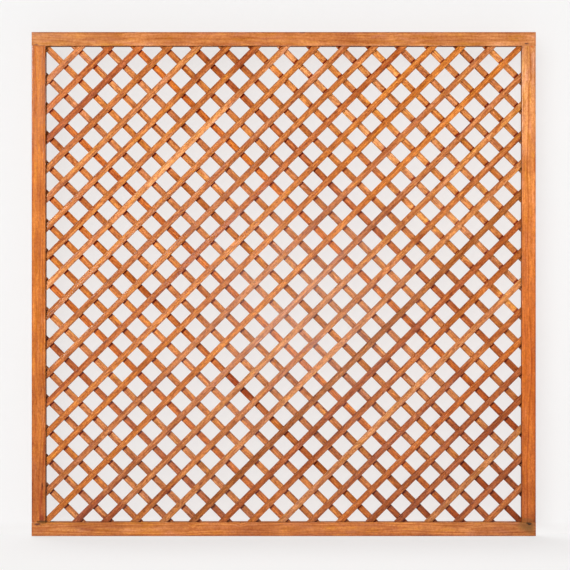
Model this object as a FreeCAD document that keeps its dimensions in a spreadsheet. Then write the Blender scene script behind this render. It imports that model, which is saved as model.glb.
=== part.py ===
import FreeCAD, Part
import math
import os
import random
import re
import Sketcher

# Framed lattice trellis: a halved softwood frame, grooved on its inner edges, that holds two crossed layers
# of thin slats. Millimetres, +Z up, front towards -Y, origin at the bottom of the panel, in the middle of
# its width and depth. The plane where the two layers touch is the middle of the depth.

SIZES = {
    # the panel as a whole
    "panel_width": 1800,
    "panel_height": 1800,
    # the four frame members
    "frame_face": 50,
    "frame_depth": 38,
    "frame_arris_radius": 3,
    # the slats
    "slat_width": 22,
    "slat_gap": 52.2,
    "slat_thickness": 8,
    "slat_arris_radius": 1,
    "slat_angle": 45,
    # the groove that the lattice stands in
    "groove_depth": 12,
    "groove_clearance": 0.3,
    "groove_end_clearance": 1,
    # the staple at each crossing, which bears on the back of the lattice
    "staple_crown_width": 10,
    "staple_leg_length": 14,
    "staple_wire_width": 1.2,
    "staple_wire_thickness": 0.9,
    # the staples of the halved corners, sunk a little below the face
    "corner_crown_width": 12,
    "corner_leg_length": 32,
    "corner_wire_width": 1.6,
    "corner_wire_thickness": 1.4,
    "corner_sink_depth": 0.6,
    "corner_slot_clearance": 0.3,
}

# Slats on each side of the middle one that are sub-parts of their own. The shorter ones beyond them share
# one sub-part at each corner of the panel.
LONE_SLATS = 12

# How far a slat may lie from its even place, as a share of the spacing
UNEVEN_SHARE = 0.02

# Where the staple of each corner sits, as shares of the face width: in from the member's end, then in from
# its outer edge. The front ones are as uneven as hand work leaves them.
FRONT_STAPLE_SHARES = {
    "top_left": (0.31, 0.90),
    "top_right": (0.66, 0.83),
    "bottom_left": (0.42, 0.85),
    "bottom_right": (0.42, 0.90),
}
BACK_STAPLE_SHARE = (0.40, 0.50)

# The frame's members, with the turn about the depth that brings each one into place from lying with its
# inner edge down, and the corners at its low and high ends as it lies
MEMBERS = {
    "top_rail": (0, "top_left", "top_right"),
    "bottom_rail": (180, "bottom_right", "bottom_left"),
    "left_stile": (-90, "bottom_left", "top_left"),
    "right_stile": (90, "top_right", "bottom_right"),
}

# Which corner of the panel the slats numbered below and above the middle one run to
SLAT_CORNERS = {
    "front": ("top_left", "bottom_right"),
    "back": ("bottom_left", "top_right"),
}

DEPTH_AXIS = FreeCAD.Vector(0, 1, 0)
HEIGHT_AXIS = FreeCAD.Vector(0, 0, 1)
HALF_TURN_ANGLE = 180

doc = FreeCAD.newDocument("trellis")
sheet = doc.addObject("Spreadsheet::Sheet", "Sizes")


def fill_sheet():
    """One row for each driving size: its name, then its value under that name."""
    for row, (name, value) in enumerate(SIZES.items(), start=1):
        sheet.set(f"A{row}", name)
        sheet.set(f"B{row}", str(value))
        sheet.setAlias(f"B{row}", name)
    doc.recompute()


def cell(word):
    """A size's name becomes its cell in the sheet, and any other word, such as sin, stays."""
    return f"Sizes.{word[0]}" if word[0] in SIZES else word[0]


def bind(thing, formulas):
    """Ties each named property to a formula in the words of the sheet."""
    for prop, formula in formulas.items():
        thing.setExpression(prop, re.sub(r"[a-z_]+", cell, formula))


def place(thing, x="0", y="0", z="0"):
    bind(thing, {"Placement.Base.x": x, "Placement.Base.y": y, "Placement.Base.z": z})


# Bars

def rectangle_sketch(body, name, across, upright):
    """A rectangle centred on the body's length, square to it."""
    sketch = body.newObject("Sketcher::SketchObject", name)
    square_plane = next(plane for plane in body.Origin.OriginFeatures if plane.Role == "YZ_Plane")
    sketch.AttachmentSupport = [(square_plane, "")]
    sketch.MapMode = "FlatFace"
    outline = [FreeCAD.Vector(y, z, 0) for y, z in ((-1, -1), (1, -1), (1, 1), (-1, 1))]
    sides = [
        sketch.addGeometry(Part.LineSegment(corner, following), False)
        for corner, following in zip(outline, outline[1:] + outline[:1])
    ]
    bottom, right, top, left = sides
    start, end, origin = 1, 2, -1
    for side, following in zip(sides, sides[1:] + sides[:1]):
        sketch.addConstraint(Sketcher.Constraint("Coincident", side, end, following, start))
    for kind, side in (("Horizontal", bottom), ("Vertical", right), ("Horizontal", top), ("Vertical", left)):
        sketch.addConstraint(Sketcher.Constraint(kind, side))
    sketch.addConstraint(Sketcher.Constraint("Symmetric", bottom, start, top, start, origin, start))
    for kind, side, formula in (("DistanceX", bottom, across), ("DistanceY", right, upright)):
        length = sketch.Geometry[side].length()
        size = sketch.addConstraint(Sketcher.Constraint(kind, side, start, side, end, length))
        bind(sketch, {f"Constraints[{size}]": formula})
    return sketch


def planed_bar(name, length, depth, face, arris):
    """A bar lying along X, centred on the origin, with its four long edges eased."""
    body = doc.addObject("PartDesign::Body", name)
    bar = body.newObject("PartDesign::Pad", name + "_length")
    bar.Profile = rectangle_sketch(body, name + "_section", depth, face)
    bar.SideType = "Symmetric"
    bind(bar, {"Length": length})
    doc.recompute()
    long_edges = [
        f"Edge{number}"
        for number, edge in enumerate(bar.Shape.Edges, start=1)
        if edge.BoundBox.XLength > edge.BoundBox.YLength + edge.BoundBox.ZLength
    ]
    easing = body.newObject("PartDesign::Fillet", name + "_arris")
    easing.Base = (bar, long_edges)
    bind(easing, {"Radius": arris})
    return body


def cut_box(body, name, low_corner, extent):
    """Takes a box out of a body: its low corner and its size, each along X, Y and Z."""
    box = body.newObject("PartDesign::SubtractiveBox", name)
    length, width, height = extent
    bind(box, {"Length": length, "Width": width, "Height": height})
    place(box, *low_corner)


# Frame

def cut_groove(member, length):
    """Runs past the inner corners by its own depth and stops there, so that no end of it shows outside."""
    half_thickness = "(slat_thickness + groove_clearance)"
    cut_box(
        member,
        member.Name + "_groove",
        (f"-{length} / 2 + frame_face - groove_depth", f"-{half_thickness}", "-frame_face / 2"),
        (f"{length} - 2 * (frame_face - groove_depth)", f"2 * {half_thickness}", "groove_depth"),
    )


def cut_end(member, length, end, inward, half, shares):
    """The lap that leaves one half of the thickness at an end, and the staple's slot in that half's face."""
    end_x = f"-{length} / 2" if inward > 0 else f"{length} / 2"
    cut_box(
        member,
        f"{member.Name}_{end}_lap",
        (
            end_x if inward > 0 else f"{end_x} - frame_face",
            "0" if half == "front" else "-frame_depth / 2",
            "-frame_face / 2",
        ),
        ("frame_face", "frame_depth / 2", "frame_face"),
    )
    along, across = shares
    slot_depth = "(corner_sink_depth + corner_wire_thickness)"
    slot_length = "(corner_crown_width + 2 * corner_slot_clearance)"
    slot_width = "(corner_wire_width + 2 * corner_slot_clearance)"
    cut_box(
        member,
        f"{member.Name}_{end}_staple_slot",
        (
            f"{end_x} + {inward} * {along} * frame_face - {slot_length} / 2",
            "-frame_depth / 2" if half == "front" else f"frame_depth / 2 - {slot_depth}",
            f"frame_face / 2 - {across} * frame_face - {slot_width} / 2",
        ),
        (slot_length, slot_depth, slot_width),
    )


def corner_shares(half, corner):
    return FRONT_STAPLE_SHARES[corner] if half == "front" else BACK_STAPLE_SHARE


def frame_member(name, length, half, x, z):
    """Rails keep the front half of their thickness at the corners, and stiles the back half."""
    member = planed_bar(name, length, "frame_depth", "frame_face", "frame_arris_radius")
    cut_groove(member, length)
    angle, low_corner, high_corner = MEMBERS[name]
    cut_end(member, length, "low", 1, half, corner_shares(half, low_corner))
    cut_end(member, length, "high", -1, half, corner_shares(half, high_corner))
    member.Placement = FreeCAD.Placement(FreeCAD.Vector(), FreeCAD.Rotation(DEPTH_AXIS, angle))
    place(member, x=x, z=z)
    return member


def frame():
    side = "(panel_width - frame_face) / 2"
    return {
        "top_rail": frame_member("top_rail", "panel_width", "front", "0", "panel_height - frame_face / 2"),
        "bottom_rail": frame_member("bottom_rail", "panel_width", "front", "0", "frame_face / 2"),
        "left_stile": frame_member("left_stile", "panel_height", "back", f"-{side}", "panel_height / 2"),
        "right_stile": frame_member("right_stile", "panel_height", "back", side, "panel_height / 2"),
    }


# Lattice

def lattice_field():
    """The rectangle that the lattice is sawn to: what shows, and its tongue in the groove on each side."""
    field = doc.addObject("Part::Box", "lattice_field")
    margin = "(frame_face - groove_depth + groove_end_clearance)"
    bind(field, {
        "Length": f"panel_width - 2 * {margin}",
        "Width": "frame_depth",
        "Height": f"panel_height - 2 * {margin}",
    })
    place(field, f"-panel_width / 2 + {margin}", "-frame_depth / 2", margin)
    return field


def slats_each_side():
    """How many slats lie between the middle one and a corner, each showing a spacing's length or more."""
    angle = math.radians(sheet.slat_angle)
    spacing = sheet.slat_width + sheet.slat_gap
    sight_width = sheet.panel_width - 2 * sheet.frame_face
    sight_height = sheet.panel_height - 2 * sheet.frame_face
    to_corner = (sight_width * math.sin(angle) + sight_height * math.cos(angle)) / 2
    to_last_slat = to_corner - spacing * math.sin(angle) * math.cos(angle)
    return int(to_last_slat / spacing)


def laid(layer, number):
    """A slat's place from the middle one, counted in spacings, with its own small error."""
    error = random.Random(f"{layer} {number}").uniform(-UNEVEN_SHARE, UNEVEN_SHARE)
    return round(number + error, 4)


def slat_name(layer, number):
    if number == 0:
        return f"{layer}_slat_middle"
    corner = SLAT_CORNERS[layer][number > 0]
    side = "upper" if corner.startswith("top") else "lower"
    return f"{layer}_slat_{side}_{abs(number):02d}"


def slat(layer, number, field):
    """A bar across the panel at the slat angle, sawn off at the edge of the lattice."""
    rise = 1 if layer == "front" else -1
    bar = planed_bar(
        f"{layer}_bar_{number}",
        length="panel_width + panel_height",
        depth="slat_thickness",
        face="slat_width",
        arris="slat_arris_radius",
    )
    bar.Placement = FreeCAD.Placement(FreeCAD.Vector(), FreeCAD.Rotation(DEPTH_AXIS, sheet.slat_angle))
    bind(bar, {"Placement.Rotation.Angle": f"-{rise} * slat_angle * 1 deg"})
    offset = f"{laid(layer, number)} * (slat_width + slat_gap)"
    place(
        bar,
        f"{offset} * sin(slat_angle * 1 deg)",
        f"-{rise} * slat_thickness / 2",
        f"panel_height / 2 - {rise} * {offset} * cos(slat_angle * 1 deg)",
    )
    sawn = doc.addObject("Part::Common", slat_name(layer, number))
    sawn.Base = bar
    sawn.Tool = field
    return sawn


def corner_group(layer, corner, slats):
    group = doc.addObject("Part::Compound", f"{layer}_slats_{corner}")
    group.Links = slats
    return group


def lattice_layer(layer, each_side, field):
    """The slats of one layer: the group at one corner, the lone ones, and the group at the other corner."""
    slats = [slat(layer, number, field) for number in range(-each_side, each_side + 1)]
    grouped = max(each_side - LONE_SLATS, 0)
    if not grouped:
        return slats
    first, last = SLAT_CORNERS[layer]
    return [
        corner_group(layer, first, slats[:grouped]),
        *slats[grouped:-grouped],
        corner_group(layer, last, slats[-grouped:]),
    ]


# Staples

def staple(name, crown, leg, wire_width, wire_thickness):
    """A wire staple with its crown's outer face on the origin, crown along X, and its legs towards -Y."""
    body = doc.addObject("PartDesign::Body", name)
    outside = body.newObject("PartDesign::AdditiveBox", name + "_outside")
    bind(outside, {"Length": crown, "Width": leg, "Height": wire_width})
    place(outside, f"-{crown} / 2", f"-{leg}", f"-{wire_width} / 2")
    cut_box(
        body,
        name + "_inside",
        (f"-{crown} / 2 + {wire_thickness}", f"-{leg}", f"-{wire_width} / 2"),
        (f"{crown} - 2 * {wire_thickness}", f"{leg} - {wire_thickness}", wire_width),
    )
    return body


def copies(name, pattern, placements):
    """Identical fasteners, each a solid of its own."""
    group = doc.addObject("Part::Feature", name)
    group.Shape = Part.Compound([pattern.Shape.transformed(spot.Matrix, True) for spot in placements])
    group.Placement = FreeCAD.Placement()
    return group


def crossing_spots(each_side):
    """The back of each crossing that shows its whole staple inside the frame."""
    angle = math.radians(sheet.slat_angle)
    pitch = sheet.slat_width + sheet.slat_gap
    reach_x = sheet.panel_width / 2 - sheet.frame_face - sheet.staple_crown_width / 2
    reach_z = sheet.panel_height / 2 - sheet.frame_face - sheet.staple_wire_width / 2
    spots = []
    for front in range(-each_side, each_side + 1):
        for back in range(-each_side, each_side + 1):
            to_front = laid("front", front) * pitch
            to_back = laid("back", back) * pitch
            x = (to_back + to_front) / (2 * math.sin(angle))
            z = (to_back - to_front) / (2 * math.cos(angle))
            if abs(x) <= reach_x and abs(z) <= reach_z:
                spot = FreeCAD.Vector(
                    x, sheet.slat_thickness + sheet.staple_wire_thickness, z + sheet.panel_height / 2
                )
                spots.append(FreeCAD.Placement(spot, FreeCAD.Rotation()))
    return spots


def corner_spots(members):
    """One staple in the front of each rail's end and one in the back of each stile's end."""
    spots = []
    for name, member in members.items():
        half = "front" if name.endswith("rail") else "back"
        length = sheet.panel_width if half == "front" else sheet.panel_height
        facing = -1 if half == "front" else 1
        spin = FreeCAD.Rotation(HEIGHT_AXIS, HALF_TURN_ANGLE if half == "front" else 0)
        for inward, corner in zip((1, -1), MEMBERS[name][1:]):
            along, across = corner_shares(half, corner)
            spot = FreeCAD.Vector(
                inward * (along * sheet.frame_face - length / 2),
                facing * (sheet.frame_depth / 2 - sheet.corner_sink_depth),
                sheet.frame_face / 2 - across * sheet.frame_face,
            )
            spots.append(member.Placement.multiply(FreeCAD.Placement(spot, spin)))
    return spots


def staples(members, each_side):
    small = staple(
        "staple",
        crown="staple_crown_width",
        leg="staple_leg_length",
        wire_width="staple_wire_width",
        wire_thickness="staple_wire_thickness",
    )
    large = staple(
        "corner_staple",
        crown="corner_crown_width",
        leg="corner_leg_length",
        wire_width="corner_wire_width",
        wire_thickness="corner_wire_thickness",
    )
    doc.recompute()
    return [
        copies("lattice_staples", small, crossing_spots(each_side)),
        copies("corner_staples", large, corner_spots(members)),
    ]


# The whole panel

def check(parts):
    """Stops on anything that failed to build or that isn't a sound solid."""
    for thing in doc.Objects:
        if "Invalid" in thing.State or "Error" in thing.State:
            raise RuntimeError(f"{thing.Name} failed: {thing.State}")
    for part in parts:
        if part.Shape.isNull() or not part.Shape.isValid() or not part.Shape.Solids:
            raise RuntimeError(f"{part.Label} has no sound shape")


def main():
    fill_sheet()
    members = frame()
    field = lattice_field()
    each_side = slats_each_side()
    slats = [part for layer in SLAT_CORNERS for part in lattice_layer(layer, each_side, field)]
    doc.recompute()
    parts = list(members.values()) + slats + staples(members, each_side)
    doc.recompute()
    check(parts)
    os.makedirs("parts", exist_ok=True)
    for part in parts:
        part.Shape.exportStep(os.path.join("parts", part.Label + ".step"))
    print(f"{len(parts)} sub-parts, {sum(len(part.Shape.Solids) for part in parts)} solids")


main()
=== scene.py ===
import math

import bmesh
import bpy
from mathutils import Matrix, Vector


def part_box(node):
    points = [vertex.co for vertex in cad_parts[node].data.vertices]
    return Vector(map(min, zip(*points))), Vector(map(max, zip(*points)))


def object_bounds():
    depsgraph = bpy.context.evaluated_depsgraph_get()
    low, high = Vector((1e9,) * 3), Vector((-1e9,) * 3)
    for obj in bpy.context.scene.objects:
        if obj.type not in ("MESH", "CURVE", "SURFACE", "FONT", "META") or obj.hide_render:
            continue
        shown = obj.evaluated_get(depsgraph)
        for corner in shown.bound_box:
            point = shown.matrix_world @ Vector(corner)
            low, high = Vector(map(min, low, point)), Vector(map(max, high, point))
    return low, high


# Framed lattice trellis in oiled softwood. Metres, +Z up, front towards -Y, the origin under the middle of
# the panel.

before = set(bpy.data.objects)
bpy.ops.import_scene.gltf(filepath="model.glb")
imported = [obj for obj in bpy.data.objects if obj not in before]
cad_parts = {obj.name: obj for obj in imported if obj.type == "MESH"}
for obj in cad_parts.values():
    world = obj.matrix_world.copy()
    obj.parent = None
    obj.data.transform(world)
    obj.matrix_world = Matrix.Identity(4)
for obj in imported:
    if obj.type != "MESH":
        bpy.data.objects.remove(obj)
cad_low, cad_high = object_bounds()

PANEL_HEIGHT = cad_high.z - cad_low.z
PANEL_FRONT = cad_low.y
MIDDLE_HEIGHT = (cad_high.z + cad_low.z) / 2
RAIL_LOW, RAIL_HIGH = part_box("top_rail")
FACE_WIDTH = RAIL_HIGH.z - RAIL_LOW.z
SLAT_SPACING = 0.0742
SLAT_WIDTH = 0.022

# How the slats lean: the front ones rise to the right and the back ones to the left
LEAN = {"front": 1, "back": -1}
SLATS_EACH_SIDE = 15
GROUPED_SLATS = 3

# Every piece's figure follows a number of its own. The front slats count from this one in the middle and
# the back slats from the same one below nought, and the members count from the last.
LAYER_NUMBER = 50
FIRST_MEMBER_NUMBER = 201.0

# The oiled timber's tones as they look on a swatch, red, green and blue out of 255
TONES = {
    "pale": (220, 150, 92),
    "amber": (216, 141, 72),
    "tan": (206, 135, 76),
    "rose": (196, 124, 71),
    "honey": (205, 126, 56),
    "copper": (196, 121, 60),
    "orange": (202, 114, 45),
    "russet": (190, 110, 52),
    "chestnut": (179, 99, 49),
    "umber": (177, 108, 52),
}

# The tone of each slat, from the one nearest the top left or bottom left corner onwards
SLAT_TONES = {
    "front": (
        "rose russet chestnut copper tan copper copper pale copper rose copper russet honey honey rose honey "
        "rose tan copper tan umber chestnut russet pale russet orange chestnut chestnut tan chestnut russet"
    ).split(),
    "back": (
        "tan rose honey rose rose chestnut tan orange honey honey russet copper copper orange rose copper "
        "tan rose orange copper chestnut copper amber pale amber tan amber tan tan rose tan"
    ).split(),
}

# The tones that follow each other evenly along each member, from its left or lower end
MEMBER_TONES = {
    "top_rail": ((181, 121, 69), (187, 120, 68), (190, 124, 72), (194, 132, 83)),
    "bottom_rail": ((191, 124, 70), (203, 129, 66), (208, 131, 67), (202, 132, 76)),
    "left_stile": ((170, 96, 43), (187, 111, 46), (189, 112, 43), (176, 102, 31)),
    "right_stile": ((178, 94, 36), (206, 113, 41), (203, 125, 63), (210, 152, 100)),
}


# Nodes

def swatch(red, green, blue):
    """A colour as it is seen, out of 255, as the linear colour that a shader takes."""
    seen = [channel / 255 for channel in (red, green, blue)]
    return (*[c / 12.92 if c <= 0.04045 else ((c + 0.055) / 1.055) ** 2.4 for c in seen], 1)


def add(tree, kind, *feeds, **settings):
    """A node with its settings, its sockets fed in order by numbers, colours or other nodes' outputs."""
    made = tree.nodes.new("ShaderNode" + kind)
    for name, value in settings.items():
        setattr(made, name, value)
    for socket, feed in zip([socket for socket in made.inputs if socket.enabled], feeds):
        if isinstance(feed, bpy.types.NodeSocket):
            tree.links.new(feed, socket)
        elif feed is not None:
            socket.default_value = feed
    return made


def calc(tree, operation, *feeds):
    """The outcome of one step of arithmetic."""
    return add(tree, "Math", *feeds, operation=operation).outputs[0]


def noise(tree, place, stretch, detail=2, roughness=0.5):
    """Soft noise from 0 to 1, its grain as many per metre each way as stretch says."""
    stretched = add(tree, "VectorMath", place, stretch, operation="MULTIPLY").outputs[0]
    made = add(tree, "TexNoise", normalize=True)
    tree.links.new(stretched, made.inputs["Vector"])
    made.inputs["Scale"].default_value = 1
    made.inputs["Detail"].default_value = detail
    made.inputs["Roughness"].default_value = roughness
    return made


def spread(tree, value, low, high, to_low=0, to_high=1):
    """A smooth step: to_low below the low value and to_high above the high one."""
    made = add(tree, "MapRange", value, low, high, to_low, to_high, interpolation_type="SMOOTHSTEP")
    return made.outputs[0]


def tint(tree, colour, amount, by):
    """Multiplies a colour by another one as far as the amount says."""
    return add(tree, "Mix", amount, colour, by, data_type="RGBA", blend_type="MULTIPLY").outputs[2]


def blend(tree, amount, first, second):
    """Passes from the first colour to the second as the amount goes from 0 to 1."""
    return add(tree, "Mix", amount, first, second, data_type="RGBA").outputs[2]


# Softwood

# The noises in the timber's figure: how many grains per metre along, across and through the piece, how many
# finer layers lie in each, and how strong those are
GRAINS = {
    "streaks": ((2.2, 95, 95), 3, 0.5),
    "lines": ((20, 330, 330), 2, 0.6),
    "fibres": ((40, 1500, 1500), 1, 0.5),
    "flecks": ((55, 170, 170), 3, 0.7),
    "pores": ((170, 280, 280), 2, 0.6),
    "clouds": ((7, 22, 22), 3, 0.6),
    "hue": ((13, 60, 60), 2, 0.6),
}

# The noises that lie in the oil and don't follow the grain as it wanders
OIL_NOISES = ("clouds", "hue")

# What multiplies the tone, one after the other: the noise, where it starts to show and is full, what it is
# held back by, and its colour. The rings have been worked out already and have no start.
FIGURE_TINTS = (
    ("clouds", 0.32, 0.68, None, (0.80, 0.70, 0.62, 1)),
    ("clouds", 0.62, 0.30, None, (1.10, 1.12, 1.15, 1)),
    ("streaks", 0.45, 0.72, "figured", (0.74, 0.56, 0.42, 1)),
    ("streaks", 0.50, 0.30, None, (1.08, 1.10, 1.08, 1)),
    ("hue", 0.52, 0.70, None, (1.0, 1.04, 1.50, 1)),
    ("hue", 0.48, 0.30, None, (0.97, 0.98, 0.60, 1)),
    ("flecks", 0.50, 0.64, "mottled", (0.50, 0.36, 0.22, 1)),
    ("flecks", 0.50, 0.36, "mottled", (1.26, 1.34, 1.40, 1)),
    ("pores", 0.50, 0.64, "mottled", (0.60, 0.46, 0.36, 1)),
    ("pores", 0.50, 0.36, "mottled", (1.22, 1.30, 1.40, 1)),
    ("rings", None, None, None, (0.72, 0.52, 0.40, 1)),
    ("lines", 0.48, 0.70, "figured", (0.74, 0.62, 0.50, 1)),
    ("lines", 0.50, 0.32, "figured", (1.14, 1.18, 1.22, 1)),
    ("fibres", 0.35, 0.75, None, (0.90, 0.86, 0.82, 1)),
)

# How much of the streaks and lines is there even without mottle
LEAST_FIGURE = 0.4

# How far off a piece's heart and its stretch of the tree may lie, in metres
HEART_LOW, HEART_HIGH = (5, -0.09, 0.02), (60, 0.09, 0.12)
WANDER_GRAINS = (2.5, 6, 6)
GRAIN_WANDER = 0.022

# How far through a year the late wood starts to darken, is full, starts to end and ends, and how much of
# that the weakest year shows
YEAR_START, YEAR_FULL, YEAR_TURN, YEAR_END = 0.35, 0.85, 0.93, 1.0
WEAKEST_YEAR = 0.25

# Pin knots: how close they lie, the shares of that spacing where each is full and has ended, and how far it
# pushes the rings apart, in metres, over which share
KNOTS_PER_METRE = 8
KNOT_FULL, KNOT_END = 0.012, 0.032
KNOT_SWELLING, SWELLING_END = 0.004, 0.22
KNOT_STRENGTH = 0.8
KNOT_COLOUR = (92, 42, 20)

# How far a face looks to the front or back, from 0 to 1, for it to be planed or sawn
PLANED_FACING, SAWN_FACING = 0.75, 0.15

# The roughness of a planed face and what is added to it, the heights of the figure, and its relief
PLANED_ROUGHNESS = 0.15
SAWN_ROUGHNESS = 0.35
LINE_ROUGHNESS = 0.12
RING_ROUGHNESS = -0.04
FIBRE_HEIGHT, LINE_HEIGHT, RING_HEIGHT = 0.35, 0.6, 0.5
GRAIN_RELIEF = 0.35
GRAIN_DEPTH = 0.0006


def sawn_side(tree):
    """1 on the sawn sides of a piece and 0 on its planed faces, which look to the front and back."""
    normal = add(tree, "TexCoord").outputs["Normal"]
    facing = calc(tree, "ABSOLUTE", add(tree, "SeparateXYZ", normal).outputs["Y"])
    return spread(tree, facing, PLANED_FACING, SAWN_FACING)


def softwood():
    """The figure of one sawn piece: growth rings round a heart that lies beside it, streaks, fibres and pin
    knots. It takes a place on the piece, X along the grain, and a number that makes each piece its own."""
    tree = bpy.data.node_groups.new("oiled_softwood", "ShaderNodeTree")
    fed = {"Place": "Vector", "Piece": "Float", "Tone": "Color", "Ring width": "Float", "Mottle": "Float"}
    for name, kind in fed.items():
        tree.interface.new_socket(name, in_out="INPUT", socket_type="NodeSocket" + kind)
    for name, kind in (("Colour", "Color"), ("Roughness", "Float"), ("Height", "Float")):
        tree.interface.new_socket(name, in_out="OUTPUT", socket_type="NodeSocket" + kind)
    given = tree.nodes.new("NodeGroupInput").outputs
    place, piece, tone, ring_width, mottle = [given[name] for name in fed]

    # Every piece has its own stretch of the tree and its own heart
    chance = add(tree, "TexWhiteNoise", piece, noise_dimensions="1D").outputs["Color"]
    heart = add(tree, "MapRange", chance, data_type="FLOAT_VECTOR")
    heart.inputs[9].default_value = HEART_LOW
    heart.inputs[10].default_value = HEART_HIGH
    moved = add(tree, "VectorMath", place, heart.outputs[1], operation="ADD").outputs[0]

    # The grain wanders a few millimetres along the piece
    wander = noise(tree, moved, WANDER_GRAINS, detail=1).outputs["Color"]
    centred = add(tree, "VectorMath", wander, (0.5, 0.5, 0.5), operation="SUBTRACT").outputs[0]
    sway = (0, GRAIN_WANDER, GRAIN_WANDER)
    bent = add(tree, "VectorMath", centred, sway, moved, operation="MULTIPLY_ADD").outputs[0]

    # Pin knots, which the rings flow round
    cells = add(tree, "TexVoronoi", moved)
    cells.inputs["Scale"].default_value = KNOTS_PER_METRE
    reach = cells.outputs["Distance"]
    knot = spread(tree, reach, KNOT_FULL, KNOT_END, 1, 0)
    swelling = spread(tree, reach, 0, SWELLING_END, KNOT_SWELLING, 0)

    along, across, deep = add(tree, "SeparateXYZ", bent).outputs
    across_squared = calc(tree, "MULTIPLY", across, across)
    radius = calc(tree, "SQRT", calc(tree, "MULTIPLY_ADD", deep, deep, across_squared))
    years = calc(tree, "DIVIDE", calc(tree, "ADD", radius, swelling), ring_width)
    late = calc(tree, "FRACT", years)
    darkened = spread(tree, late, YEAR_START, YEAR_FULL)
    late = calc(tree, "MULTIPLY", darkened, spread(tree, late, YEAR_TURN, YEAR_END, 1, 0))
    year = calc(tree, "FLOOR", years)
    strength = add(tree, "TexWhiteNoise", year, noise_dimensions="1D").outputs["Value"]
    rings = calc(tree, "MULTIPLY", late, spread(tree, strength, 0, 1, WEAKEST_YEAR, 1))

    grains = {"rings": rings}
    for name, (stretch, detail, strong) in GRAINS.items():
        carried = moved if name in OIL_NOISES else bent
        grains[name] = noise(tree, carried, stretch, detail, strong).outputs["Fac"]
    figured = calc(tree, "MULTIPLY_ADD", mottle, 1 - LEAST_FIGURE, LEAST_FIGURE)
    held_back = {"mottled": mottle, "figured": figured}
    colour = tone
    for name, start, full, held, by in FIGURE_TINTS:
        amount = grains[name] if start is None else spread(tree, grains[name], start, full)
        if held:
            amount = calc(tree, "MULTIPLY", amount, held_back[held])
        colour = tint(tree, colour, amount, by)
    colour = blend(tree, calc(tree, "MULTIPLY", knot, KNOT_STRENGTH), colour, swatch(*KNOT_COLOUR))

    fibres, lines = grains["fibres"], grains["lines"]
    roughness = calc(tree, "MULTIPLY_ADD", lines, LINE_ROUGHNESS, PLANED_ROUGHNESS)
    roughness = calc(tree, "MULTIPLY_ADD", rings, RING_ROUGHNESS, roughness)
    roughness = calc(tree, "MULTIPLY_ADD", sawn_side(tree), SAWN_ROUGHNESS, roughness)
    height = calc(tree, "MULTIPLY", lines, LINE_HEIGHT)
    height = calc(tree, "MULTIPLY_ADD", fibres, FIBRE_HEIGHT, height)
    height = calc(tree, "MULTIPLY_ADD", rings, RING_HEIGHT, height)

    results = tree.nodes.new("NodeGroupOutput").inputs
    for name, feed in (("Colour", colour), ("Roughness", roughness), ("Height", height)):
        tree.links.new(feed, results[name])
    return tree


FIGURE = softwood()


def timber(name, place, piece, tone, ring_width, mottle, sheen, marks):
    """A material of oiled softwood. Place, piece, tone and marks are functions that add nodes to its tree."""
    finish = bpy.data.materials.new(name)
    finish.use_nodes = True
    tree = finish.node_tree
    shader = tree.nodes["Principled BSDF"]
    point = add(tree, "TexCoord").outputs["Object"]
    figure = tree.nodes.new("ShaderNodeGroup")
    figure.node_tree = FIGURE
    tree.links.new(place(tree, point), figure.inputs["Place"])
    for socket, feed in (("Piece", piece(tree, point)), ("Tone", tone(tree, point))):
        if isinstance(feed, bpy.types.NodeSocket):
            tree.links.new(feed, figure.inputs[socket])
        else:
            figure.inputs[socket].default_value = feed
    figure.inputs["Ring width"].default_value = ring_width
    figure.inputs["Mottle"].default_value = mottle
    shader.inputs["Specular IOR Level"].default_value = sheen
    tree.links.new(marks(tree, point, figure.outputs["Colour"]), shader.inputs["Base Color"])
    tree.links.new(figure.outputs["Roughness"], shader.inputs["Roughness"])
    bump = add(tree, "Bump")
    bump.inputs["Strength"].default_value = GRAIN_RELIEF
    bump.inputs["Distance"].default_value = GRAIN_DEPTH
    tree.links.new(figure.outputs["Height"], bump.inputs["Height"])
    tree.links.new(bump.outputs[0], shader.inputs["Normal"])
    return finish


# Slats

SLAT_RING_WIDTH = 0.0034
SLAT_MOTTLE = 0.65
SLAT_SHEEN = 0.28

# The slats that are oilier or drier than the rest
OWN_SHEEN = {
    ("front", -4): 0.40,
    ("front", 1): 0.38,
    ("front", 5): 0.18,
    ("front", 6): 0.16,
    ("front", 7): 0.16,
    ("front", 11): 0.22,
    ("front", 12): 0.22,
    ("back", -5): 0.05,
    ("back", -3): 0.20,
    ("back", 0): 0.16,
    ("back", 3): 0.18,
    ("back", 5): 0.16,
}

# Painted shade: a slat's face darkens over this much of its width, counted in from its ragged edge, and
# once more at its arris, and its sawn sides are painted darker
EDGE_GRAINS = (6, 130, 130)
EDGE_RAGGEDNESS = 0.002
SHADED_START, SHADED_END = 0.009, 0.004
SHADED_TINT = (0.84, 0.91, 1.0, 1)
ARRIS_REACH = 0.003
ARRIS_SHADE_TINT = (0.88, 0.73, 0.50, 1)
SIDE_SHADE_TINT = (0.90, 0.70, 0.46, 1)

# The painted shadows that the front slats cast on the back slats where the layers cross: how far off the
# front slat's edge each is full and ends, how far up to the right they pass from its lower to its upper side,
# and how far into the back slat they show
LINE_FULL, LINE_END = 0.004, 0.0075
PASSING_START, PASSING_END = 0.40, 0.55
SKIN_FULL, SKIN_END = 0.001, 0.004
CROSSING_SHADOW_TINT = (0.40, 0.09, 0.02, 1)
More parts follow.
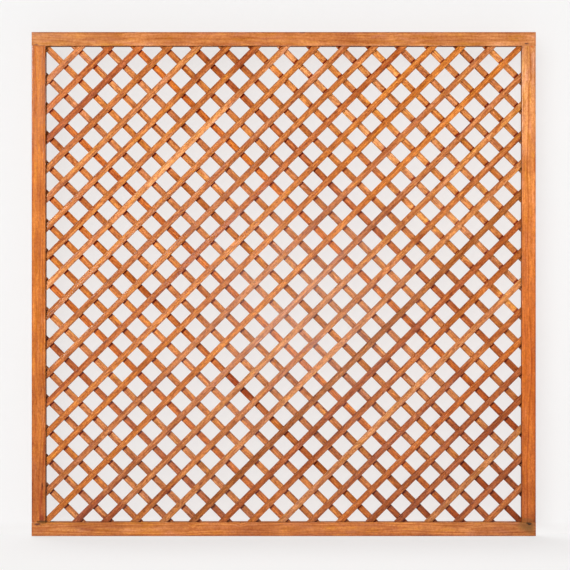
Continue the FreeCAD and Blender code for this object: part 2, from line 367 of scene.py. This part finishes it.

# Where a dark stretch shows on a slat, heartwood, and on the back slats towards the bottom right corner
# partly painted shade where the light falls off: how far its middle lies along the slat, half its length, and
# its depth of colour from 0 to 1
HEARTWOOD_AND_SHADE = {
    ("back", -5): (0.15, 0.065, 0.72),
    ("back", -4): (0.86, 0.12, 0.55),
    ("back", -3): (0.90, 0.10, 0.42),
    ("back", -2): (1.02, 0.09, 0.55),
    ("back", -1): (1.03, 0.13, 0.52),
    ("back", 0): (1.08, 0.20, 0.7),
    ("back", 1): (0.93, 0.24, 0.46),
    ("back", 3): (0.88, 0.16, 0.48),
    ("front", -9): (0.47, 0.05, 0.5),
    ("front", 1): (-1.08, 0.09, 0.6),
    ("front", 2): (-1.03, 0.07, 0.65),
}
HEARTWOOD_AND_SHADE_TINT = (0.50, 0.14, 0.06, 1)
DARK_STRETCH_FULL, DARK_STRETCH_END = 0.01, 0.05
DARK_STRETCH_RAGGEDNESS = 0.06


def across_layer(tree, point, lean):
    """How far a point lies from the middle slat's centre line, measured square to the slats."""
    x, _, z = add(tree, "SeparateXYZ", point).outputs
    raised = calc(tree, "SUBTRACT", z, MIDDLE_HEIGHT)
    leaned = calc(tree, "MULTIPLY_ADD", raised, -lean, x)
    return calc(tree, "MULTIPLY", leaned, math.sqrt(0.5))


def slat_number(tree, point, lean):
    """The number of the slat that a point lies on, 0 for the middle one."""
    return calc(tree, "ROUND", calc(tree, "DIVIDE", across_layer(tree, point, lean), SLAT_SPACING))


def slat_place(tree, point, lean):
    """The place on a slat: along it from the lattice's middle, across it, and through the panel."""
    x, y, z = add(tree, "SeparateXYZ", point).outputs
    raised = calc(tree, "MULTIPLY", calc(tree, "SUBTRACT", z, MIDDLE_HEIGHT), lean)
    along = calc(tree, "MULTIPLY", calc(tree, "ADD", x, raised), math.sqrt(0.5))
    number = slat_number(tree, point, lean)
    own = calc(tree, "MULTIPLY_ADD", number, -SLAT_SPACING, across_layer(tree, point, lean))
    return add(tree, "CombineXYZ", along, own, y).outputs[0]


def painted_crossing_shadows(tree, point, colour):
    """Painted shadows: thin dark lines on a back slat's face beside the front slats that cross it, where they
    would cast their shade: on their lower side over most of the panel, and on their upper side towards the
    top right."""
    lean = LEAN["front"]
    along, off, deep = add(tree, "SeparateXYZ", slat_place(tree, point, lean)).outputs
    over = spread(tree, along, PASSING_START, PASSING_END)
    edge = SLAT_WIDTH / 2
    under_line = spread(tree, off, edge + LINE_END, edge + LINE_FULL)
    under_line = calc(tree, "MULTIPLY", under_line, spread(tree, over, 1, 0))
    under_line = calc(tree, "MULTIPLY", under_line, calc(tree, "GREATER_THAN", off, 0))
    over_line = spread(tree, off, -edge - LINE_END, -edge - LINE_FULL)
    over_line = calc(tree, "MULTIPLY", over_line, over)
    over_line = calc(tree, "MULTIPLY", over_line, calc(tree, "LESS_THAN", off, 0))
    lines = calc(tree, "ADD", under_line, over_line)
    off_middle = calc(tree, "ABSOLUTE", across_layer(tree, point, lean))
    crossed = calc(tree, "LESS_THAN", off_middle, (SLATS_EACH_SIDE + 0.5) * SLAT_SPACING)
    lines = calc(tree, "MULTIPLY", lines, crossed)
    lines = calc(tree, "MULTIPLY", lines, spread(tree, deep, SKIN_END, SKIN_FULL))
    return tint(tree, colour, lines, CROSSING_SHADOW_TINT)


def slat_marks(layer, number):
    """Paints shade on a slat along its edges, at its arris and on its sides, paints the shadows of the
    crossing front slats on a back slat, and adds its dark stretch, heartwood and towards the bottom right
    corner partly painted shade, whose ends are drawn out along the grain."""
    def marks(tree, point, colour):
        if layer == "back":
            # Painted shadows that the front slats cast on the back slat
            colour = painted_crossing_shadows(tree, point, colour)
        place = slat_place(tree, point, LEAN[layer])
        ragged = noise(tree, place, EDGE_GRAINS).outputs["Fac"]
        along, across, _ = add(tree, "SeparateXYZ", place).outputs
        out = calc(tree, "MULTIPLY_ADD", ragged, EDGE_RAGGEDNESS, calc(tree, "ABSOLUTE", across))
        edge = SLAT_WIDTH / 2
        # Painted shade along the slat's edges and at its arris, and on its sawn sides
        shaded = spread(tree, out, edge - SHADED_START, edge - SHADED_END)
        colour = tint(tree, colour, shaded, SHADED_TINT)
        colour = tint(tree, colour, spread(tree, out, edge - ARRIS_REACH, edge), ARRIS_SHADE_TINT)
        colour = tint(tree, colour, sawn_side(tree), SIDE_SHADE_TINT)
        # The dark stretch: heartwood, and towards the bottom right corner partly painted shade
        if (layer, number) not in HEARTWOOD_AND_SHADE:
            return colour
        middle, half, depth = HEARTWOOD_AND_SHADE[layer, number]
        off = calc(tree, "ABSOLUTE", calc(tree, "SUBTRACT", along, middle))
        off = calc(tree, "MULTIPLY_ADD", ragged, DARK_STRETCH_RAGGEDNESS, off)
        amount = spread(tree, off, half + DARK_STRETCH_END, half + DARK_STRETCH_FULL, 0, depth)
        return tint(tree, colour, amount, HEARTWOOD_AND_SHADE_TINT)
    return marks


def slat_timber(layer, first, tones):
    """The timber of neighbouring slats: the first one's number, then the tone of each."""
    lean = LEAN[layer]

    def place(tree, point):
        return slat_place(tree, point, lean)

    def piece(tree, point):
        return calc(tree, "ADD", slat_number(tree, point, lean), LAYER_NUMBER * lean)

    def tone(tree, point):
        chosen = swatch(*TONES[tones[0]])
        for step, word in enumerate(tones[1:]):
            beyond = calc(tree, "GREATER_THAN", slat_number(tree, point, lean), first + step + 0.5)
            chosen = blend(tree, beyond, chosen, swatch(*TONES[word]))
        return chosen

    return timber(
        f"{layer}_slat_{first}",
        place,
        piece=piece,
        tone=tone,
        ring_width=SLAT_RING_WIDTH,
        mottle=SLAT_MOTTLE,
        sheen=OWN_SHEEN.get((layer, first), SLAT_SHEEN),
        marks=slat_marks(layer, first),
    )


def slat_name(layer, number):
    if number == 0:
        return f"{layer}_slat_middle"
    upper = (number < 0) if layer == "front" else (number > 0)
    return f"{layer}_slat_{'upper' if upper else 'lower'}_{abs(number):02d}"


def dress(name, finish):
    """Gives a piece its finish."""
    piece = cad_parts[name]
    piece.data.materials.clear()
    piece.data.materials.append(finish)


def dress_slats():
    corners = {"front": ("top_left", "bottom_right"), "back": ("bottom_left", "top_right")}
    lone = SLATS_EACH_SIDE - GROUPED_SLATS
    for layer, tones in SLAT_TONES.items():
        low, high = corners[layer]
        dress(f"{layer}_slats_{low}", slat_timber(layer, -SLATS_EACH_SIDE, tones[:GROUPED_SLATS]))
        dress(f"{layer}_slats_{high}", slat_timber(layer, lone + 1, tones[-GROUPED_SLATS:]))
        for number in range(-lone, lone + 1):
            tone = tones[number + SLATS_EACH_SIDE]
            dress(slat_name(layer, number), slat_timber(layer, number, [tone]))


# Frame

FRAME_RING_WIDTH = 0.0042
FRAME_SHEEN = 0.25
STILE_MOTTLE = 0.2
RAIL_MOTTLE = 0.1

# How far in from the panel's outer edge its face darkens, counted in from it, and the painted shade on the
# sides towards the lattice
OUTER_DARK_START, OUTER_DARK_END = 0.008, 0.002
OUTER_DARK_TINT = (0.84, 0.76, 0.72, 1)
INNER_SIDE_SHADE_TINT = (0.11, 0.06, 0.04, 1)

# The blotches on the faces, and where in their noise the dark ones and the pale ones are full
BLOTCHES_PER_METRE = 140
BLOTCH_MIDDLE, DARK_BLOTCH_FULL, PALE_BLOTCH_FULL = 0.50, 0.66, 0.34
DARK_BLOTCH_TINT = (0.86, 0.78, 0.70, 1)
PALE_BLOTCH_TINT = (1.08, 1.11, 1.14, 1)

# How ragged the edge of a mark is, as a share of its reach, and how fine
MARK_RAGGEDNESS = 1.4
MARK_GRAINS_PER_METRE = 260

# The marks that iron, damp and knots have left on each member: centre, reach, softness, strength and colour
MEMBER_MARKS = {
    "top_rail": [
        ((-0.8845, PANEL_FRONT, 1.753), (0.006, 0.01, 0.002), 0.9, 0.45, (150, 66, 34)),
        ((0.867, PANEL_FRONT, 1.7585), (0.005, 0.01, 0.002), 0.9, 0.6, (110, 66, 48)),
        ((0.830, PANEL_FRONT, 1.7775), (0.004, 0.01, 0.003), 0.9, 0.5, (140, 92, 44)),
        ((0.067, PANEL_FRONT, 1.799), (0.008, 0.02, 0.003), 0.5, 0.8, (110, 50, 20)),
    ],
    "bottom_rail": [
        ((-0.879, PANEL_FRONT, 0.0425), (0.008, 0.01, 0.003), 0.9, 0.7, (96, 44, 36)),
        ((-0.862, PANEL_FRONT, 0.0480), (0.011, 0.01, 0.0025), 0.9, 0.7, (96, 60, 20)),
        ((0.866, PANEL_FRONT, 0.040), (0.016, 0.03, 0.012), 1.4, 0.60, (112, 78, 36)),
        ((0.880, PANEL_FRONT, 0.024), (0.010, 0.03, 0.008), 1.4, 0.45, (112, 78, 36)),
        ((0.877, PANEL_FRONT, 0.044), (0.005, 0.01, 0.0028), 0.9, 0.95, (26, 22, 10)),
        ((0.870, PANEL_FRONT, 0.0465), (0.004, 0.01, 0.0015), 0.9, 0.8, (48, 34, 16)),
    ],
    "left_stile": [
        ((-0.8625, PANEL_FRONT, 0.177), (0.0015, 0.02, 0.010), 0.7, 0.9, (50, 14, 6)),
        ((-0.8650, PANEL_FRONT, 0.145), (0.0018, 0.02, 0.026), 1.0, 0.65, (128, 44, 10)),
        ((-0.8690, PANEL_FRONT, 0.100), (0.0024, 0.02, 0.034), 1.2, 0.6, (138, 50, 16)),
        ((-0.8640, PANEL_FRONT, 0.062), (0.0055, 0.02, 0.010), 0.9, 0.65, (112, 32, 8)),
        ((-0.8640, PANEL_FRONT, 0.052), (0.012, 0.02, 0.003), 0.9, 0.9, (84, 50, 14)),
    ],
    "right_stile": [
        ((0.8865, PANEL_FRONT, 1.7495), (0.004, 0.02, 0.004), 0.8, 0.6, (176, 72, 26)),
        ((0.866, PANEL_FRONT, 0.055), (0.018, 0.03, 0.006), 1.2, 0.5, (104, 72, 34)),
    ],
}


def spot(tree, point, centre, reach, softness):
    """1 within reach of a point, fading to 0 over the softness, with a ragged edge."""
    offset = add(tree, "VectorMath", point, centre, operation="SUBTRACT").outputs[0]
    stretched = add(tree, "VectorMath", offset, [1 / size for size in reach], operation="MULTIPLY").outputs[0]
    distance = add(tree, "VectorMath", stretched, operation="LENGTH").outputs[1]
    ragged = noise(tree, point, [MARK_GRAINS_PER_METRE] * 3).outputs["Fac"]
    ragged = calc(tree, "MULTIPLY_ADD", ragged, MARK_RAGGEDNESS, -MARK_RAGGEDNESS / 2)
    distance = calc(tree, "ADD", distance, ragged)
    return spread(tree, distance, 1, 1 + softness, 1, 0)


def member_marks(stains):
    """Darkens the panel's face towards its outer edge, paints shade on the sides towards the lattice, mottles
    the face, and adds a member's own marks."""
    def marks(tree, point, colour):
        centred = add(tree, "VectorMath", point, (0, 0, MIDDLE_HEIGHT), operation="SUBTRACT").outputs[0]
        centred = add(tree, "VectorMath", centred, operation="ABSOLUTE").outputs[0]
        x, _, z = add(tree, "SeparateXYZ", centred).outputs
        out = calc(tree, "MAXIMUM", x, z)
        edge = PANEL_HEIGHT / 2
        # Darker towards the panel's outer edge
        outer_dark = spread(tree, out, edge - OUTER_DARK_START, edge - OUTER_DARK_END)
        colour = tint(tree, colour, outer_dark, OUTER_DARK_TINT)
        # Painted shade on the frame's inner sides towards the lattice
        inner = calc(tree, "LESS_THAN", out, edge - FACE_WIDTH / 2)
        inner = calc(tree, "MULTIPLY", sawn_side(tree), inner)
        colour = tint(tree, colour, inner, INNER_SIDE_SHADE_TINT)
        blotches = noise(tree, point, [BLOTCHES_PER_METRE] * 3, roughness=0.7).outputs["Fac"]
        dark = spread(tree, blotches, BLOTCH_MIDDLE, DARK_BLOTCH_FULL)
        pale = spread(tree, blotches, BLOTCH_MIDDLE, PALE_BLOTCH_FULL)
        colour = tint(tree, tint(tree, colour, dark, DARK_BLOTCH_TINT), pale, PALE_BLOTCH_TINT)
        for centre, reach, softness, strength, stain in stains:
            amount = calc(tree, "MULTIPLY", spot(tree, point, centre, reach, softness), strength)
            colour = blend(tree, amount, colour, swatch(*stain))
        return colour
    return marks


def member_place(centre, upright):
    """The place on a member, measured from its middle, with its length first."""
    def place(tree, point):
        moved = add(tree, "VectorMath", point, centre, operation="SUBTRACT").outputs[0]
        x, y, z = add(tree, "SeparateXYZ", moved).outputs
        return add(tree, "CombineXYZ", *((z, x, y) if upright else (x, z, y))).outputs[0]
    return place


def member_tone(axis, low, high, tones):
    """The tones of a member, one passing evenly into the next along it."""
    def tone(tree, point):
        place = add(tree, "SeparateXYZ", point).outputs[axis]
        step = (high - low) / (len(tones) - 1)
        mixed = swatch(*tones[0])
        for number, later in enumerate(tones[1:]):
            start = low + number * step
            share = add(tree, "MapRange", place, start, start + step, 0, 1).outputs[0]
            mixed = blend(tree, share, mixed, swatch(*later))
        return mixed
    return tone


def dress_frame():
    for number, (name, tones) in enumerate(MEMBER_TONES.items()):
        low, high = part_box(name)
        upright = name.endswith("stile")
        axis, start, end = ("Z", low.z, high.z) if upright else ("X", low.x, high.x)
        finish = timber(
            name,
            member_place((low + high) / 2, upright),
            piece=lambda tree, point, number=number: FIRST_MEMBER_NUMBER + number,
            tone=member_tone(axis, start, end, tones),
            ring_width=FRAME_RING_WIDTH,
            mottle=STILE_MOTTLE if upright else RAIL_MOTTLE,
            sheen=FRAME_SHEEN,
            marks=member_marks(MEMBER_MARKS[name]),
        )
        dress(name, finish)


# Staples

# The wire's patches, where in their noise it passes from bright to dull, how much they roughen it, and their
# relief
WIRE_PATCHES_PER_METRE = 450
BRIGHT_END, DULL_START = 0.35, 0.65
PATCH_ROUGHNESS = 0.3
WIRE_RELIEF = 0.4
WIRE_DEPTH = 0.0002


def wire(name, bright, dull, metallic, roughness):
    """Drawn wire, mottled between two colours, its shine broken up in the same patches."""
    finish = bpy.data.materials.new(name)
    finish.use_nodes = True
    tree = finish.node_tree
    shader = tree.nodes["Principled BSDF"]
    shader.inputs["Metallic"].default_value = metallic
    point = add(tree, "TexCoord").outputs["Object"]
    patches = noise(tree, point, [WIRE_PATCHES_PER_METRE] * 3, detail=3).outputs["Fac"]
    dulled = spread(tree, patches, BRIGHT_END, DULL_START)
    colour = blend(tree, dulled, swatch(*bright), swatch(*dull))
    roughened = calc(tree, "MULTIPLY_ADD", patches, PATCH_ROUGHNESS, roughness)
    tree.links.new(colour, shader.inputs["Base Color"])
    tree.links.new(roughened, shader.inputs["Roughness"])
    bump = add(tree, "Bump")
    bump.inputs["Strength"].default_value = WIRE_RELIEF
    bump.inputs["Distance"].default_value = WIRE_DEPTH
    tree.links.new(patches, bump.inputs["Height"])
    tree.links.new(bump.outputs[0], shader.inputs["Normal"])
    return finish


def dress_staples():
    galvanised = wire("galvanised_wire", (176, 180, 182), (132, 136, 138), metallic=0.9, roughness=0.25)
    rusted = wire("rusted_wire", (112, 62, 40), (66, 36, 26), metallic=0.1, roughness=0.6)
    dress("lattice_staples", galvanised)
    dress("corner_staples", rusted)


# Stage

# The floor reaches this far each way, and the board stands this far behind the panel's middle
STAGE_REACH = 9.0
BOARD_GAP = 0.1
BOARD_HEIGHT = 6.0
COVE_RADIUS = 0.04
COVE_STEPS = 12

# The paper's own white, the white of its lit share, and how large that share is where the camera looks
BACKDROP_WHITE = swatch(247, 245, 244)
BOUNCE_WHITE = swatch(245, 247, 248)
LIT_SHARE = 0.25


def stage_surface(name, coved):
    """Pale paper. What the camera sees of it is mostly its own white, and the rest is lit and shaded. In the
    cove it is all its own white, so that no line shows there. From behind it is clear."""
    finish = bpy.data.materials.new(name)
    finish.use_nodes = True
    tree = finish.node_tree
    tree.nodes.clear()
    lit = add(tree, "BsdfDiffuse", BOUNCE_WHITE)
    own = add(tree, "Emission", BACKDROP_WHITE, 1.0)
    rays = add(tree, "LightPath").outputs
    straight = calc(tree, "MAXIMUM", rays["Is Camera Ray"], rays["Is Glossy Ray"])
    straight = calc(tree, "MAXIMUM", straight, rays["Is Transmission Ray"])
    share = LIT_SHARE
    if coved:
        height = add(tree, "SeparateXYZ", add(tree, "TexCoord").outputs["Object"]).outputs["Z"]
        share = spread(tree, height, 0, COVE_RADIUS, 0, LIT_SHARE)
    own_share = calc(tree, "MULTIPLY", straight, calc(tree, "SUBTRACT", 1, share))
    seen = add(tree, "MixShader", own_share, lit.outputs[0], own.outputs[0])
    behind = add(tree, "NewGeometry").outputs["Backfacing"]
    clear = add(tree, "BsdfTransparent")
    sided = add(tree, "MixShader", behind, seen.outputs[0], clear.outputs[0])
    output = add(tree, "OutputMaterial")
    tree.links.new(sided.outputs[0], output.inputs["Surface"])
    return finish


def sheet_object(name, mesh_maker, finish):
    sheet = bmesh.new()
    mesh_maker(sheet)
    mesh = bpy.data.meshes.new(name)
    sheet.to_mesh(mesh)
    sheet.free()
    mesh.materials.append(finish)
    made = bpy.data.objects.new(name, mesh)
    bpy.context.scene.collection.objects.link(made)
    return made


def draw_edges(sheet, edges, move):
    """Extrudes edges by a move and gives back the edges at its end."""
    made = bmesh.ops.extrude_edge_only(sheet, edges=edges)["geom"]
    ends = [part for part in made if isinstance(part, bmesh.types.BMVert)]
    bmesh.ops.translate(sheet, verts=ends, vec=move)
    return [part for part in made if isinstance(part, bmesh.types.BMEdge)]


def board_sheet(sheet):
    """A board behind the panel, swept into the floor by a small cove."""
    start = BOARD_GAP - COVE_RADIUS
    ends = [sheet.verts.new((side * STAGE_REACH, start, 0)) for side in (-1, 1)]
    edge = sheet.edges.new(ends)
    turned = bmesh.ops.spin(
        sheet,
        geom=[*ends, edge],
        cent=(0, start, COVE_RADIUS),
        axis=(1, 0, 0),
        angle=math.pi / 2,
        steps=COVE_STEPS,
    )["geom_last"]
    top = [part for part in turned if isinstance(part, bmesh.types.BMEdge)]
    draw_edges(sheet, top, (0, 0, BOARD_HEIGHT))
    face_front(sheet)


def floor_sheet(sheet):
    bmesh.ops.create_grid(sheet, x_segments=1, y_segments=1, size=STAGE_REACH)


def face_front(sheet):
    """Turns the faces to look to the front and up."""
    bmesh.ops.recalc_face_normals(sheet, faces=sheet.faces)
    sheet.normal_update()
    if sum(face.normal.z - face.normal.y for face in sheet.faces) < 0:
        bmesh.ops.reverse_faces(sheet, faces=sheet.faces)


def build_stage():
    floor = sheet_object("floor", floor_sheet, stage_surface("floor_paper", coved=False))
    board = sheet_object("backdrop_board", board_sheet, stage_surface("board_paper", coved=True))
    board.visible_shadow = False
    board.visible_diffuse = False
    return floor, board


# Light

# The soft boxes round the panel, aimed at its middle: place, side and power
SOFT_BOXES = {
    "left_soft_box": ((-2.4, -3.6, 2.1), 0.8, 205),
    "right_soft_box": ((1.9, -1.7, 1.8), 0.6, 28),
    "front_soft_box": ((0.11, -8.2, 0.68), 0.9, 40),
    "back_soft_box": ((2.4, 4.0, 2.6), 1.2, 150),
}

# The even light on the board and on the floor alone: the place that it comes from, its angle and strength
BOARD_LIGHTS = {"board_light": ((-1.16, -4.0, 1.16), 0.87, 2.32)}
FLOOR_LIGHTS = {
    "back_floor_light": ((-0.4, 1.0, 4.0), 0.35, 1.9),
    "floor_light": ((0, -3, 4), 0.35, 0.9),
}
AMBIENT_STRENGTH = 0.1


def soft_lamp(name, place, aim, size, power):
    """A square soft box that faces its aim."""
    lamp = bpy.data.lights.new(name, "AREA")
    lamp.shape = "SQUARE"
    lamp.size = size
    lamp.energy = power
    made = bpy.data.objects.new(name, lamp)
    made.location = place
    made.rotation_euler = (Vector(aim) - Vector(place)).to_track_quat("-Z", "Y").to_euler()
    bpy.context.scene.collection.objects.link(made)
    return made


def distant_lamp(name, place, angle, strength):
    """Even soft light from a wide window far off, towards the panel's foot from this place."""
    lamp = bpy.data.lights.new(name, "SUN")
    lamp.angle = angle
    lamp.energy = strength
    made = bpy.data.objects.new(name, lamp)
    made.location = place
    made.rotation_euler = (-Vector(place)).to_track_quat("-Z", "Y").to_euler()
    bpy.context.scene.collection.objects.link(made)
    return made


def lights_only(lamp, things, kept):
    """Keeps a lamp's light to these things, or away from them."""
    group = bpy.data.collections.new(lamp.name + "_receivers")
    for thing in things:
        group.objects.link(thing)
    for member in group.collection_objects:
        member.light_linking.link_state = "INCLUDE" if kept else "EXCLUDE"
    lamp.light_linking.receiver_collection = group


def build_light(floor, board):
    middle = (0, 0, MIDDLE_HEIGHT)
    for name, (place, side, power) in SOFT_BOXES.items():
        lights_only(soft_lamp(name, place, middle, side, power), (floor, board), kept=False)
    for lamps, sheet in ((BOARD_LIGHTS, board), (FLOOR_LIGHTS, floor)):
        for name, (place, angle, strength) in lamps.items():
            lights_only(distant_lamp(name, place, angle, strength), (sheet,), kept=True)
    world = bpy.data.worlds.new("studio")
    bpy.context.scene.world = world
    world.use_nodes = True
    tree = world.node_tree
    tree.nodes.clear()
    rays = add(tree, "LightPath").outputs
    ambient = add(tree, "Background", (1, 1, 1, 1), AMBIENT_STRENGTH)
    white = add(tree, "Background", BACKDROP_WHITE, 1.0)
    mixed = add(tree, "MixShader", rays["Is Camera Ray"], ambient.outputs[0], white.outputs[0])
    tree.links.new(mixed.outputs[0], add(tree, "OutputWorld").inputs["Surface"])


# Camera

# How far off the panel's front the camera stands, and the width of what it sees there
CAMERA_DISTANCE = 7.7
VIEW_WIDTH = 2.0347
SENSOR_WIDTH = 36
CAMERA_X, CAMERA_Z = 0.0045, 0.8967


def build_camera():
    """Square to the panel, as far off as the photograph was taken, and a little off its middle."""
    lens = bpy.data.cameras.new("camera")
    lens.sensor_width = SENSOR_WIDTH
    lens.lens = SENSOR_WIDTH * CAMERA_DISTANCE / VIEW_WIDTH
    camera = bpy.data.objects.new("camera", lens)
    camera.location = (CAMERA_X, PANEL_FRONT - CAMERA_DISTANCE, CAMERA_Z)
    camera.rotation_euler = (math.pi / 2, 0, 0)
    bpy.context.scene.collection.objects.link(camera)
    bpy.context.scene.camera = camera


dress_frame()
dress_slats()
dress_staples()
build_light(*build_stage())
build_camera()
bpy.context.scene.view_settings.view_transform = "Standard"
